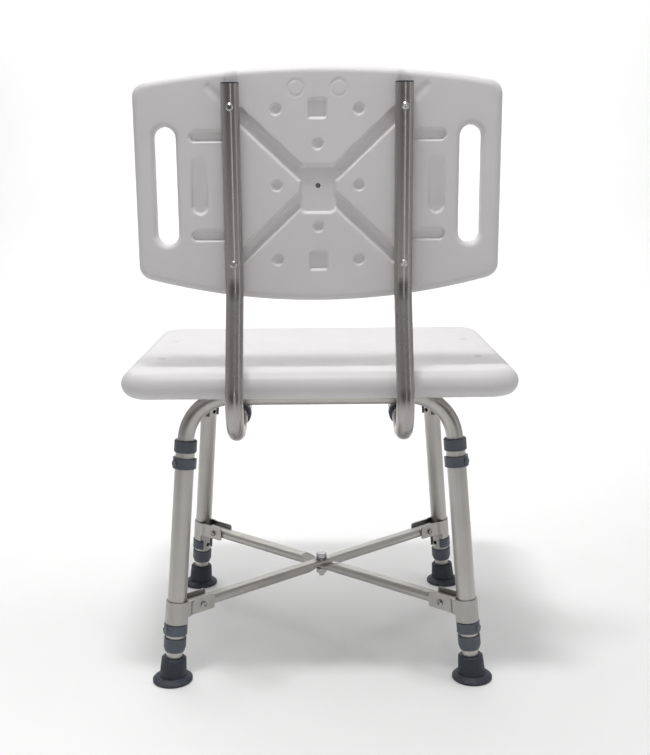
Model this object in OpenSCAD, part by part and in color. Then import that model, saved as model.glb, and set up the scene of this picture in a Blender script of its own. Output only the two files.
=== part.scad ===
// Bath transfer bench: a shower seat with a removable back on four telescoping, splayed tube legs.
// Millimetres, +Z up. The origin is on the floor at the middle of the footprint; the sitter faces -Y.

/* [Seat] */
// Width of the seat moulding, side to side
seat_width = 508; // [490:1:530]
// Depth of the seat moulding, front to back
seat_depth = 406; // [390:1:420]
// Thickness of the seat moulding, also the diameter of its rounded edge
seat_thickness = 34.9; // [32:0.1:38]
// Height of the seat's top above the floor with the legs at their shortest
seat_height = 425.2; // [415:0.1:440]
// Corner radius of the seat seen from above
seat_corner_r = 39; // [30:1:60]

/* [Frame and legs] */
// Outer diameter of the leg frames, leg extensions and back tubes
tube_od = 22.2; // [22:0.1:22.4]
// Outer diameter of the leg tubes and the back's sockets
sleeve_od = 25.4; // [25.2:0.1:25.6]
// Wall thickness of the round tubes
tube_wall = 1.2; // [1:0.1:1.3]
// Centre line radius of the leg frames' bends
frame_bend_r = 60; // [50:1:70]
// Half of the side to side distance between the leg axes on the floor
foot_x = 201.8; // [190:0.1:215]
// Half of the front to back distance between the leg axes on the floor
foot_y = 169.6; // [160:0.1:175]
// Angle at which each leg spreads sideways
leg_splay = 4.574; // [3.5:0.001:5.5]
// Angle at which each leg frame leans inwards, front to back
leg_lean = 2.931; // [2:0.001:4]
// Distance between the height settings of a leg extension
height_step = 25.4; // [20:0.1:26]
// Number of height settings
height_holes = 6; // [3:1:6]

/* [Back] */
// Width of the backrest moulding
back_width = 449; // [430:1:470]
// Thickness of the backrest moulding
back_thickness = 26; // [24:1:30]
// Height of the backrest's highest point above the floor
back_top = 797; // [780:1:810]
// Height of the backrest's lowest point above the floor
back_bottom = 512; // [505:1:525]
// Half of the distance between the two back tubes
back_tube_x = 104.5; // [100:0.5:110]
// Backwards recline of the backrest
recline = 1.5; // [0:0.1:4]
// Length of back tube held in each socket
back_insertion = 125; // [90:1:140]
// Width of the hand-hold slots in the backrest
slot_width = 25.5; // [22:0.5:28]
// Length of the hand-hold slots in the backrest
slot_length = 143; // [120:1:150]

/* [Cross brace] */
// Width of the flat brace tubes
brace_width = 20; // [18:0.5:20]
// Height of the flat brace tubes
brace_height = 13; // [12:0.5:14]
// Height of the brace above the floor
brace_z = 99.5; // [96:0.5:102]

/* [Hidden] */
$fn = 64;

tube_r = tube_od / 2;
bore_r = tube_r - tube_wall;
sleeve_r = sleeve_od / 2;
sleeve_bore_r = sleeve_r - tube_wall;

seat_edge_r = seat_thickness / 2;
seat_bottom = seat_height - seat_thickness;
channel_sink = 6.4;
channel_gap = 0.15;
channel_half = 150;
cross_z = seat_bottom + channel_sink - tube_r;
drain_r = 5;
drain_depth = 3;
drain_spots = [[213, -58], [213, 87]];
cavity_wall = 3.5;

// The leg frames lie in leaning planes; these are distances in that plane.
cross_s = cross_z / cos(leg_lean);
cross_y = foot_y - cross_z * tan(leg_lean);
bend_sweep = 90 - leg_splay;
bend_centre_s = cross_s - frame_bend_r;
bend_centre_x = foot_x - bend_centre_s * tan(leg_splay) - frame_bend_r / cos(leg_splay);
bend_end_s = (bend_centre_s + frame_bend_r * sin(leg_splay)) / cos(leg_splay);

// Distances along a leg from the floor.
frame_leg_end = 230;
// The straight runs lap the bends a little, and the bends are drawn a hair thinner.
bend_lap = 0.6;
bend_swage = 0.05;
sleeve_low = 44;
sleeve_high = 328.6;
collar_low = 315;
collar_high = 330.8;
collar_r = 14.9;
lower_collar_low = 41.9;
lower_collar_high = 61.2;
lower_collar_r = 15;
fit_gap = 0.05;
slide_gap = 0.3;
upper_lock_s = 300.4;
lower_lock_s = 73;
lock_peg_r = 3;
lock_hole_r = lock_peg_r + 0.3;
clip_height = 13.8;
clip_bore_r = sleeve_r + 0.3;
clip_r = 15.75;
clip_opening = 78;
peg_reach = 7.5;
extension_low = 10;
extension_high = 215;

tip_r = 26.75;
tip_flange_h = 8;
tip_neck_r = 16.5;
tip_waist_r = 17.75;
tip_high = 33.2;
tip_recess_r = 17;
tip_recess_h = 1.5;

brace_leg_x = foot_x - brace_z * tan(leg_splay) / cos(leg_lean);
brace_leg_y = foot_y - brace_z * tan(leg_lean);
brace_angle = atan2(brace_leg_y, brace_leg_x);
brace_reach = norm([brace_leg_x, brace_leg_y]);
brace_s = brace_z / cos(leg_lean) / cos(leg_splay);
brace_half = brace_reach - 18;
brace_wall = 2.2;
brace_corner_r = 5.5;
crush_flat = 16;
crush_end = 34;
crush_gap = 0.15;
clamp_tilt = atan(tan(leg_splay) * cos(brace_angle) + tan(leg_lean) * sin(brace_angle));
clamp_low = 81.4;
clamp_high = 112.2;
clamp_r = sleeve_r + 0.2;
clamp_sheet = 1.8;
strap_in = clamp_r - 0.05;
strap_out = clamp_r + clamp_sheet + 0.05;
ear_in = brace_width / 2 + 0.5;
ear_height = 21;
ear_rise = 1.2;
ear_reach = 53;
ear_start = 9;
ear_corner_r = 3.5;
clamp_screw_at = 35;
clamp_hole_r = 2.6;
screw_r = 2.4;
screw_head_r = 4.6;
screw_head_h = 2.8;
brace_bolt_r = 3.9;
brace_hole_r = 4.1;
bolt_top = 115;
bolt_bottom = 80.6;

socket_z = cross_z - tube_r - sleeve_r - 0.1;
socket_rear = 148;
socket_front = -165;
bushing_low = 136;
bushing_high = 150.5;
bushing_r = 14.8;
saddle_low = socket_z + bushing_r + 0.5;
saddle_top = saddle_low + 5;
back_tube_end = bushing_high - back_insertion;
button_y = 112;
button_r = 3.6;
button_hole_r = 3.9;
button_out = 15.2;

// The back tubes lie in planes of constant X; these are Y and Z distances.
dip_r = 36;
hook_r = 42;
hook_y = 192;
hook_z = socket_z + 30.4;
hook_lean = 23.5;
dip_link = 3;
dip_angle = acos((hook_z - socket_z + dip_r) / norm([dip_r + hook_r, dip_link]))
    - atan(dip_link / (dip_r + hook_r));
dip_y = hook_y - (dip_r + hook_r) * sin(dip_angle) - dip_link * cos(dip_angle);
back_mid_z = (back_top + back_bottom) / 2;
face_y = 174;
tube_behind_face = 9;
upper_y = face_y + tube_behind_face / cos(recline);
knee_r = 80;
knee_sweep = hook_lean + recline;
hook_end_y = hook_y + hook_r * cos(hook_lean);
hook_end_z = hook_z + hook_r * sin(hook_lean);
knee_rise = (hook_end_y - upper_y + (back_mid_z - hook_end_z) * tan(recline)) / (tan(hook_lean) + tan(recline));
knee_z = hook_end_z + knee_rise;
knee_y = hook_end_y - knee_rise * tan(hook_lean);
knee_tangent = knee_r * tan(knee_sweep / 2);
raked_length = knee_rise / cos(hook_lean) - knee_tangent;
tube_top_z = 775;
upper_length = (tube_top_z - knee_z) / cos(recline) - knee_tangent;

back_edge_r = 9;
back_top_arc = 1250;
back_bottom_arc = 825;
back_corner_r = 18.5;
back_corner_x = back_width / 2 - back_corner_r;
back_rise = (back_top - back_bottom) / 2;
back_screw_z = 93.5;
groove_depth = 3;
slot_x = 187;

// ---- shared shapes ----

// Moves its children, made for the left side (+X), to the left (1) or right (-1) side.
module on_side(side)
    mirror([side < 0 ? 1 : 0, 0, 0]) children();

// Moves its children, made for the rear left leg with its axis along Z, onto one of the four legs.
module on_leg(side, end)
    mirror([side < 0 ? 1 : 0, 0, 0])
        mirror([0, end < 0 ? 1 : 0, 0])
            translate([foot_x, foot_y, 0])
                rotate([leg_lean, 0, 0])
                    rotate([0, -leg_splay, 0])
                        children();

// Turns +X towards the chair's outside along the brace diagonal.
module outward()
    rotate([0, 0, brace_angle]) children();

module ring(outer, inner) {
    difference() {
        circle(outer);
        circle(inner);
    }
}

// A straight round bar along +X in the drawing plane, reaching a little further before and after its length.
module bar_run(length, r, before, after)
    translate([-before, 0, 0])
        rotate([0, 90, 0])
            cylinder(h = before + length + after, r = r);

// A bent round bar in the drawing plane about the origin, from one direction angle through a sweep.
module bar_bend(radius, from, sweep, r)
    rotate([0, 0, from])
        rotate_extrude(angle = sweep)
            translate([radius, 0])
                circle(r - bend_swage);

module lock_hole(at, length)
    translate([0, 0, at])
        outward()
            rotate([0, 90, 0])
                cylinder(h = length, r = lock_hole_r, center = true);

// A pan head screw with its head's underside at z = 0 and its shank along -Z.
module pan_screw(shank) {
    difference() {
        union() {
            translate([0, 0, -shank])
                cylinder(h = shank + 0.5, r = screw_r);
            cylinder(h = screw_head_h * 0.5, r = screw_head_r);
            translate([0, 0, screw_head_h * 0.5])
                cylinder(h = screw_head_h * 0.5, r1 = screw_head_r, r2 = screw_head_r * 0.6);
        }
        for (turn = [0, 90])
            rotate([0, 0, turn])
                translate([-2.2, -0.5, screw_head_h - 1.6])
                    cube([4.4, 1, 2]);
    }
}

// ---- seat ----

module seat_corner()
    rotate_extrude($fn = 40)
        translate([seat_corner_r - seat_edge_r, 0])
            circle(seat_edge_r, $fn = 32);

module seat_cavity() {
    low = seat_bottom + cavity_wall;
    step = seat_bottom + channel_sink + cavity_wall;
    high = seat_height - cavity_wall;
    inner = cross_y - tube_r - cavity_wall - 1;
    outer = seat_depth / 2 - 12;
    rotate([90, 0, 90])
        translate([0, 0, -seat_width / 2 + 24])
            linear_extrude(seat_width - 48)
                polygon([[-inner, low], [inner, low], [inner, step], [outer, step], [outer, high],
                    [-outer, high], [-outer, step], [-inner, step]]);
}

module seat() {
    corner_x = seat_width / 2 - seat_corner_r;
    corner_y = seat_depth / 2 - seat_corner_r;
    color([0.83, 0.82, 0.81])
    difference() {
        hull()
            for (x = [-corner_x, corner_x], y = [-corner_y, corner_y])
                translate([x, y, seat_bottom + seat_edge_r])
                    seat_corner();
        for (end = [-1, 1])
            translate([-channel_half, end * cross_y, cross_z])
                rotate([0, 90, 0])
                    cylinder(h = 2 * channel_half, r = tube_r + channel_gap);
        for (spot = drain_spots, side = [-1, 1])
            translate([side * spot[0], spot[1], seat_height - drain_depth])
                cylinder(h = drain_depth + 1, r = drain_r);
        seat_cavity();
    }
}

// ---- back ----

// Places its children, drawn with the rear face at y = 0, at the reclined backrest.
module at_back()
    translate([0, face_y, back_mid_z])
        rotate([-recline, 0, 0])
            children();

module edge_round(radius)
    rotate([90, 0, 0])
        rotate_extrude($fn = 32)
            translate([radius - back_edge_r, 0])
                circle(back_edge_r, $fn = 24);

// One arched edge of the backrest: a bent round bar about a far centre.
module edge_arc(radius, half_width) {
    half_angle = asin(half_width / (radius - back_edge_r));
    rotate([90, 0, 0])
        rotate([0, 0, 90 - half_angle])
            rotate_extrude(angle = 2 * half_angle, $fn = 300)
                translate([radius - back_edge_r, 0])
                    circle(back_edge_r, $fn = 24);
}

// Places its children, an edge bar centred on y = 0, along the rear and the front edges of the panel.
module at_both_faces()
    for (y = [-back_edge_r, back_edge_r - back_thickness])
        translate([0, y, 0])
            children();

module back_panel()
    hull()
        at_both_faces() {
            for (side = [-1, 1]) {
                reach = back_top_arc - back_corner_r;
                translate([side * back_corner_x, 0, back_rise - back_top_arc + sqrt(reach * reach
                    - back_corner_x * back_corner_x)])
                    edge_round(back_corner_r);
            }
            for (side = [-1, 1]) {
                reach = back_bottom_arc - back_corner_r;
                translate([side * back_corner_x, 0, back_bottom_arc - back_rise - sqrt(reach * reach
                    - back_corner_x * back_corner_x)])
                    edge_round(back_corner_r);
            }
            translate([0, 0, back_rise - back_top_arc])
                edge_arc(back_top_arc, back_corner_x);
            translate([0, 0, back_bottom_arc - back_rise])
                rotate([0, 180, 0])
                    edge_arc(back_bottom_arc, back_corner_x);
        }

// A recess in the rear face, from the face forwards.
module face_cut(depth)
    translate([0, 1, 0])
        rotate([90, 0, 0])
            linear_extrude(depth + 1)
                children();

module long_slot(width, length) {
    square([width, length - width], center = true);
    for (end = [-1, 1])
        translate([0, end * (length - width) / 2])
            circle(width / 2);
}

module back_recesses() {
    for (x = [-1, 1], z = [-1, 0, 1])
        translate([x * 50.5, 0, z * 91])
            face_cut(2)
                circle(6.2);
    for (z = [-1, 1]) {
        translate([0, 0, z * 50])
            face_cut(2)
                circle(6.2);
        translate([0, 0, z * 92])
            face_cut(groove_depth)
                square(22, center = true);
    }
    for (side = [-1, 1]) {
        translate([side * 145.5, 0, 0])
            face_cut(groove_depth)
                long_slot(21, 66);
        for (z = [-60, 60])
            translate([side * 137, 0, z])
                face_cut(groove_depth)
                    square([38, 14], center = true);
    }
    for (turn = [-44, 44])
        face_cut(groove_depth)
            rotate([0, 0, turn])
                for (end = [-1, 1])
                    translate([end * 72, 0])
                        square([80, 15], center = true);
    face_cut(4)
        circle(2.5);
}

module back_cavities() {
    skin = groove_depth + cavity_wall;
    depth = back_thickness - skin - cavity_wall;
    translate([-86, -skin - depth, -108])
        cube([172, depth, 216]);
    for (side = [-1, 1])
        translate([side * 144 - 24, -skin - depth, -98])
            cube([48, depth, 196]);
}

module backrest()
    color([0.8, 0.79, 0.78])
    at_back()
    difference() {
        back_panel();
        for (side = [-1, 1]) {
            translate([side * back_tube_x, tube_behind_face, -200])
                cylinder(h = 400, r = tube_r + channel_gap);
            translate([side * slot_x, -back_thickness - 1, 0])
                rotate([-90, 0, 0])
                    linear_extrude(back_thickness + 2)
                        long_slot(slot_width, slot_length);
            for (z = [-back_screw_z, back_screw_z])
                translate([side * back_tube_x, 1, z])
                    rotate([90, 0, 0])
                        cylinder(h = 15, r = screw_r + fit_gap);
        }
        back_recesses();
        back_cavities();
    }

// A bar of radius r along a back tube's centre line, longer by `over` at both ends. It is drawn in the plane
// of the tube's bends, with +X for rearwards and +Y for up.
module back_tube_bar(r, over) {
    translate([back_tube_end - over, socket_z])
        bar_run(dip_y - back_tube_end + over, r, 0, bend_lap);
    translate([dip_y, socket_z - dip_r])
        bar_bend(dip_r, 90 - dip_angle, dip_angle, r);
    translate([dip_y, socket_z - dip_r])
        rotate([0, 0, -dip_angle])
            translate([0, dip_r])
                bar_run(dip_link, r, bend_lap, bend_lap);
    translate([hook_y, hook_z])
        bar_bend(hook_r, -90 - dip_angle, 90 + dip_angle + hook_lean, r);
    translate([hook_end_y, hook_end_z])
        rotate([0, 0, 90 + hook_lean])
            bar_run(raked_length, r, bend_lap, bend_lap);
    translate([knee_y + knee_tangent * sin(hook_lean), knee_z - knee_tangent * cos(hook_lean)])
        rotate([0, 0, hook_lean])
            translate([knee_r, 0])
                bar_bend(knee_r, 180 - knee_sweep, knee_sweep, r);
    translate([knee_y + knee_tangent * sin(recline), knee_z + knee_tangent * cos(recline)])
        rotate([0, 0, 90 - recline])
            bar_run(upper_length, r, bend_lap, over);
}

module back_tube(side)
    color([0.72, 0.71, 0.7])
    on_side(side)
    difference() {
        translate([back_tube_x, 0, 0])
            rotate([90, 0, 90])
                back_tube_bar(tube_r, 0);
        translate([back_tube_x, 0, 0])
            rotate([90, 0, 90])
                back_tube_bar(bore_r, 1);
        translate([back_tube_x, button_y, socket_z - tube_r - 5])
            cylinder(h = 12, r = button_hole_r);
        at_back()
            for (z = [-back_screw_z, back_screw_z])
                translate([back_tube_x, tube_behind_face, z])
                    rotate([90, 0, 0])
                        cylinder(h = 30, r = screw_r + fit_gap, center = true);
    }

module back_tube_caps()
    color([0.2, 0.21, 0.23])
    for (side = [-1, 1])
        on_side(side)
            translate([back_tube_x, knee_y + (tube_top_z - knee_z) * tan(recline), tube_top_z])
                rotate([-recline, 0, 0]) {
                    translate([0, 0, 0.1])
                        cylinder(h = 1.6, r = tube_r - 0.2);
                    translate([0, 0, -10])
                        cylinder(h = 10.5, r = bore_r - fit_gap);
                }

module backrest_screws()
    color([0.6, 0.6, 0.6])
    at_back()
    for (side = [-1, 1], z = [-back_screw_z, back_screw_z])
        translate([side * back_tube_x, tube_behind_face + tube_r, z])
            rotate([-90, 0, 0])
                pan_screw(31);

// ---- back sockets ----

module socket_tube(side)
    color([0.72, 0.71, 0.7])
    on_side(side)
    difference() {
        union() {
            translate([back_tube_x, socket_rear, socket_z])
                rotate([90, 0, 0])
                    cylinder(h = socket_rear - socket_front, r = sleeve_r);
            translate([back_tube_x - 6, -cross_y - 7, socket_z + sleeve_r - 3])
                cube([12, 14, 6]);
            translate([back_tube_x - 6, bushing_low - 14, socket_z + sleeve_r - 3])
                cube([12, 13.5, saddle_top - socket_z - sleeve_r + 3]);
            translate([back_tube_x - 6, bushing_low - 14, saddle_low])
                cube([12, 24, saddle_top - saddle_low]);
        }
        translate([back_tube_x, socket_rear + 1, socket_z])
            rotate([90, 0, 0])
                cylinder(h = socket_rear - socket_front + 2, r = sleeve_bore_r);
        for (end = [-1, 1])
            translate([back_tube_x - 20, end * cross_y, cross_z])
                rotate([0, 90, 0])
                    cylinder(h = 40, r = tube_r + fit_gap);
        translate([back_tube_x, button_y, socket_z - sleeve_r - 5])
            cylinder(h = 12, r = button_hole_r);
    }

// The collar is notched where the rear cross tube passes over it.
module socket_bushing(side)
    color([0.29, 0.31, 0.34])
    on_side(side)
    difference() {
        translate([back_tube_x, bushing_low, socket_z])
        rotate([-90, 0, 0])
            rotate_extrude()
                polygon([[sleeve_r + fit_gap, 0], [bushing_r, 0], [bushing_r, bushing_high - bushing_low - 1],
                    [bushing_r - 1, bushing_high - bushing_low],
                    [tube_r + slide_gap, bushing_high - bushing_low],
                    [tube_r + slide_gap, socket_rear - bushing_low + fit_gap],
                    [sleeve_r + fit_gap, socket_rear - bushing_low + fit_gap]]);
        translate([back_tube_x - 20, cross_y, cross_z])
            rotate([0, 90, 0])
                cylinder(h = 40, r = tube_r + slide_gap);
    }

module socket_end_plugs()
    color([0.29, 0.31, 0.34])
    for (side = [-1, 1])
        translate([side * back_tube_x, socket_front - fit_gap, socket_z])
            rotate([90, 0, 0]) {
                cylinder(h = 2.5, r = sleeve_r);
                translate([0, 0, -12])
                    cylinder(h = 12.5, r = sleeve_bore_r - fit_gap);
            }

// ---- snap buttons ----

module snap_button(side)
    color([0.75, 0.75, 0.74])
    on_side(side)
    translate([back_tube_x, button_y, socket_z]) {
        translate([0, 0, -button_out])
            cylinder(h = button_out - 6, r = button_r);
        translate([0, 0, -7.6])
            cylinder(h = 1, r = 5);
        rotate([90, 0, 90])
            translate([0, 0, -3])
                linear_extrude(6)
                    polygon([[6, -7.4], [6, -6.6], [-30, 7], [-34, 7], [-34, 6.2], [-30.4, 6.2], [0, -5.6],
                        [0, -7.4]]);
    }

// ---- leg frames ----

// A bar of radius r along a leg frame's centre line, longer by `over` at both ends. It is drawn in the
// frame's own plane, with +X towards the left leg and +Y up the lean.
module leg_frame_bar(r, over) {
    translate([-bend_centre_x, cross_s])
        bar_run(2 * bend_centre_x, r, bend_lap, bend_lap);
    for (side = [-1, 1])
        on_side(side) {
            translate([bend_centre_x, bend_centre_s])
                bar_bend(frame_bend_r, leg_splay, bend_sweep, r);
            translate([foot_x, 0])
                rotate([0, 0, 90 + leg_splay])
                    translate([frame_leg_end, 0])
                        bar_run(bend_end_s - frame_leg_end, r, over, bend_lap);
        }
}

module at_leg_frame(end)
    mirror([0, end < 0 ? 1 : 0, 0])
        translate([0, foot_y, 0])
            rotate([90 + leg_lean, 0, 0])
                children();

module leg_frame(end)
    color([0.78, 0.77, 0.75])
    difference() {
        at_leg_frame(end)
            leg_frame_bar(tube_r, 0);
        at_leg_frame(end)
            leg_frame_bar(bore_r, 1);
        for (side = [-1, 1])
            on_leg(side, end)
                lock_hole(upper_lock_s, 40);
    }

module leg_tube(side, end)
    color([0.76, 0.75, 0.73])
    on_leg(side, end)
    difference() {
        translate([0, 0, sleeve_low])
            linear_extrude(sleeve_high - sleeve_low)
                ring(sleeve_r, sleeve_bore_r);
        lock_hole(upper_lock_s, 40);
        lock_hole(lower_lock_s, 40);
    }

module upper_bushing(side, end)
    color([0.29, 0.31, 0.34])
    on_leg(side, end)
    rotate_extrude()
        polygon([[sleeve_r + fit_gap, collar_low], [collar_r - 0.6, collar_low], [collar_r, collar_low + 0.6],
            [collar_r, collar_high - 1], [collar_r - 1, collar_high], [tube_r + fit_gap, collar_high],
            [tube_r + fit_gap, sleeve_high + fit_gap], [sleeve_r + fit_gap, sleeve_high + fit_gap]]);

module lower_bushing(side, end)
    color([0.29, 0.31, 0.34])
    on_leg(side, end)
    rotate_extrude()
        polygon([[tube_r + slide_gap, lower_collar_low], [lower_collar_r - 2, lower_collar_low],
            [lower_collar_r, lower_collar_low + 6], [lower_collar_r, lower_collar_high - 0.6],
            [lower_collar_r - 0.6, lower_collar_high], [sleeve_r + fit_gap, lower_collar_high],
            [sleeve_r + fit_gap, sleeve_low - fit_gap], [tube_r + slide_gap, sleeve_low - fit_gap]]);

// ---- locking clips: an open ring with a peg through the leg tube and the tube inside it ----

module lock_clip(side, end, at)
    color([0.29, 0.31, 0.34])
    on_leg(side, end)
    translate([0, 0, at])
        outward() {
            rotate([0, 0, -180 + clip_opening / 2])
                rotate_extrude(angle = 360 - clip_opening)
                    translate([clip_bore_r, -clip_height / 2])
                        square([clip_r - clip_bore_r, clip_height]);
            translate([peg_reach, 0, 0])
                rotate([0, 90, 0])
                    cylinder(h = clip_r - 1 - peg_reach, r = lock_peg_r);
            translate([clip_r - 1, 0, 0])
                rotate([0, 90, 0])
                    cylinder(h = 2.2, r = 4.6);
        }

// ---- leg extensions and tips ----

module leg_extension(side, end)
    color([0.76, 0.75, 0.73])
    on_leg(side, end)
    difference() {
        translate([0, 0, extension_low])
            linear_extrude(extension_high - extension_low)
                ring(tube_r, bore_r);
        for (step = [0 : height_holes - 1])
            lock_hole(lower_lock_s + step * height_step, 40);
    }

module foot_tip(side, end)
    color([0.17, 0.18, 0.21])
    difference() {
        union() {
            mirror([side < 0 ? 1 : 0, 0, 0])
                mirror([0, end < 0 ? 1 : 0, 0])
                    translate([foot_x, foot_y, 0])
                        rotate_extrude()
                            polygon([[0, 0], [tip_r - 1, 0], [tip_r, 1], [tip_r, 3.5], [tip_r - 1.5, 5],
                                [tip_waist_r + 2, tip_flange_h], [0, tip_flange_h]]);
            on_leg(side, end)
                rotate_extrude()
                    polygon([[0, 5], [tip_waist_r + 0.6, 5], [tip_waist_r, 13.6], [tip_neck_r, tip_high - 1.5],
                        [tip_neck_r - 1.5, tip_high], [0, tip_high]]);
        }
        on_leg(side, end)
            translate([0, 0, extension_low - fit_gap])
                cylinder(h = 40, r = tube_r + fit_gap);
        mirror([side < 0 ? 1 : 0, 0, 0])
            mirror([0, end < 0 ? 1 : 0, 0])
                translate([foot_x, foot_y, -1])
                    cylinder(h = tip_recess_h + 1, r = tip_recess_r);
    }

// ---- cross brace ----

// The strap before its ears are trimmed: round the leg at the origin, its ears along +X.
module clamp_strap(height) {
    linear_extrude(height)
        difference() {
            ring(clamp_r + clamp_sheet, clamp_r);
            translate([0, -20])
                square([40, 40]);
        }
    for (side = [0, 1])
        mirror([0, side, 0])
            linear_extrude(height)
                polygon([[-1, strap_in], [12, strap_in], [17, ear_in], [ear_reach, ear_in],
                    [ear_reach, ear_in + clamp_sheet], [17.4, ear_in + clamp_sheet], [12.4, strap_out],
                    [-1, strap_out]]);
}

// The strap seen from the side: taller round the leg, with level, round-cornered ears.
module clamp_elevation() {
    translate([-clamp_r - 5, clamp_low])
        square([clamp_r + 5 + ear_start, clamp_high - clamp_low]);
    translate([0, brace_s])
        rotate([0, 0, clamp_tilt])
            translate([0, ear_rise - ear_height / 2]) {
                square([ear_reach - ear_corner_r, ear_height]);
                translate([0, ear_corner_r])
                    square([ear_reach, ear_height - 2 * ear_corner_r]);
                for (y = [ear_corner_r, ear_height - ear_corner_r])
                    translate([ear_reach - ear_corner_r, y])
                        circle(ear_corner_r);
            }
}

module brace_clamp(side, end)
    color([0.76, 0.75, 0.73])
    on_leg(side, end)
    rotate([0, 0, brace_angle + 180])
    difference() {
        intersection() {
            translate([0, 0, clamp_low])
                clamp_strap(clamp_high - clamp_low + 8);
            rotate([90, 0, 0])
                translate([0, 0, -20])
                    linear_extrude(40)
                        clamp_elevation();
        }
        translate([0, 0, brace_s])
            rotate([0, -clamp_tilt, 0])
                translate([clamp_screw_at, 0, 0])
                    rotate([90, 0, 0])
                        cylinder(h = 40, r = clamp_hole_r + 0.2, center = true);
    }

module rounded_bar(width, height, radius)
    union() {
        square([width - 2 * radius, height], center = true);
        square([width, height - 2 * radius], center = true);
        for (x = [-1, 1], y = [-1, 1])
            translate([x * (width / 2 - radius), y * (height / 2 - radius)])
                circle(radius);
    }

// One brace tube along X with its middle pressed flat against the top (1) or bottom (-1) of the tube.
module brace_tube(turn, up) {
    half = brace_height / 2;
    color([0.76, 0.75, 0.73])
    rotate([0, 0, turn])
    translate([0, 0, brace_z])
    mirror([0, 0, up < 0 ? 1 : 0])
    difference() {
        intersection() {
            rotate([90, 0, 90])
                linear_extrude(2 * brace_half, center = true)
                    rounded_bar(brace_width, brace_height, brace_corner_r);
            rotate([90, 0, 0])
                linear_extrude(brace_width + 10, center = true)
                    polygon([[-brace_half - 1, -half - 1], [-crush_end, -half - 1], [-crush_end, -half + 0.01],
                        [-crush_flat, crush_gap], [crush_flat, crush_gap], [crush_end, -half + 0.01],
                        [crush_end, -half - 1], [brace_half + 1, -half - 1], [brace_half + 1, half + 1],
                        [-brace_half - 1, half + 1]]);
        }
        for (end = [0, 180])
            rotate([0, 0, end])
                translate([crush_end + 2, -brace_width / 2 + brace_wall, -half + brace_wall])
                    cube([brace_half, brace_width - 2 * brace_wall, brace_height - 2 * brace_wall]);
        cylinder(h = 40, r = brace_hole_r, center = true);
        for (end = [-1, 1])
            translate([end * (brace_reach - clamp_screw_at), 0, 0])
                rotate([90, 0, 0])
                    cylinder(h = 40, r = clamp_hole_r, center = true);
    }
}

module brace_bolt() {
    head_low = brace_z + brace_height / 2 + 1.6;
    color([0.55, 0.55, 0.54])
    translate([0, 0, bolt_bottom]) {
        cylinder(h = head_low + 1 - bolt_bottom, r = brace_bolt_r);
        translate([0, 0, head_low - 1.5 - bolt_bottom])
            cylinder(h = 1.6, r = 9);
        translate([0, 0, head_low - bolt_bottom])
            cylinder(h = bolt_top - head_low, r = 7.5, $fn = 6);
    }
}

module brace_nut() {
    seat_z = brace_z - brace_height / 2;
    color([0.55, 0.55, 0.54])
    difference() {
        union() {
            translate([0, 0, seat_z - 1.6])
                cylinder(h = 1.5, r = 9);
            translate([0, 0, seat_z - 8.1])
                cylinder(h = 6.6, r = 7.5, $fn = 6);
        }
        cylinder(h = 2 * seat_z, r = brace_bolt_r + fit_gap);
    }
}

// Puts its children at each clamp's screw, +Z along the screw and out of its head.
module at_clamp_screws()
    for (turn = [-brace_angle, brace_angle], end = [-1, 1])
        rotate([0, 0, turn])
            translate([end * (brace_reach - clamp_screw_at), 0, brace_z])
                rotate([-90, 0, 0])
                    children();

module clamp_screws()
    color([0.55, 0.55, 0.54])
    at_clamp_screws()
    translate([0, 0, ear_in + clamp_sheet + 0.35])
        pan_screw(2 * (ear_in + clamp_sheet) + 6);

module clamp_nuts()
    color([0.55, 0.55, 0.54])
    at_clamp_screws()
    translate([0, 0, -ear_in - clamp_sheet - 3.95])
        difference() {
            cylinder(h = 3.6, r = 4.6, $fn = 6);
            translate([0, 0, -1])
                cylinder(h = 8, r = screw_r + fit_gap);
        }

seat();
backrest();
back_tube(1);  // back_tube_left
back_tube(-1);  // back_tube_right
back_tube_caps();
backrest_screws();
socket_tube(1);  // socket_tube_left
socket_tube(-1);  // socket_tube_right
socket_bushing(1);  // socket_bushing_left
socket_bushing(-1);  // socket_bushing_right
socket_end_plugs();
leg_frame(1);  // leg_frame_rear
leg_frame(-1);  // leg_frame_front
leg_tube(1, 1);  // leg_tube_rear_left
leg_tube(-1, 1);  // leg_tube_rear_right
leg_tube(1, -1);  // leg_tube_front_left
leg_tube(-1, -1);  // leg_tube_front_right
upper_bushing(1, 1);  // upper_bushing_rear_left
upper_bushing(-1, 1);  // upper_bushing_rear_right
upper_bushing(1, -1);  // upper_bushing_front_left
upper_bushing(-1, -1);  // upper_bushing_front_right
lower_bushing(1, 1);  // lower_bushing_rear_left
lower_bushing(-1, 1);  // lower_bushing_rear_right
lower_bushing(1, -1);  // lower_bushing_front_left
lower_bushing(-1, -1);  // lower_bushing_front_right
lock_clip(1, 1, upper_lock_s);  // upper_clip_rear_left
lock_clip(-1, 1, upper_lock_s);  // upper_clip_rear_right
lock_clip(1, -1, upper_lock_s);  // upper_clip_front_left
lock_clip(-1, -1, upper_lock_s);  // upper_clip_front_right
lock_clip(1, 1, lower_lock_s);  // lower_clip_rear_left
lock_clip(-1, 1, lower_lock_s);  // lower_clip_rear_right
lock_clip(1, -1, lower_lock_s);  // lower_clip_front_left
lock_clip(-1, -1, lower_lock_s);  // lower_clip_front_right
leg_extension(1, 1);  // leg_extension_rear_left
leg_extension(-1, 1);  // leg_extension_rear_right
leg_extension(1, -1);  // leg_extension_front_left
leg_extension(-1, -1);  // leg_extension_front_right
foot_tip(1, 1);  // foot_tip_rear_left
foot_tip(-1, 1);  // foot_tip_rear_right
foot_tip(1, -1);  // foot_tip_front_left
foot_tip(-1, -1);  // foot_tip_front_right
brace_clamp(1, 1);  // brace_clamp_rear_left
brace_clamp(-1, 1);  // brace_clamp_rear_right
brace_clamp(1, -1);  // brace_clamp_front_left
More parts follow.
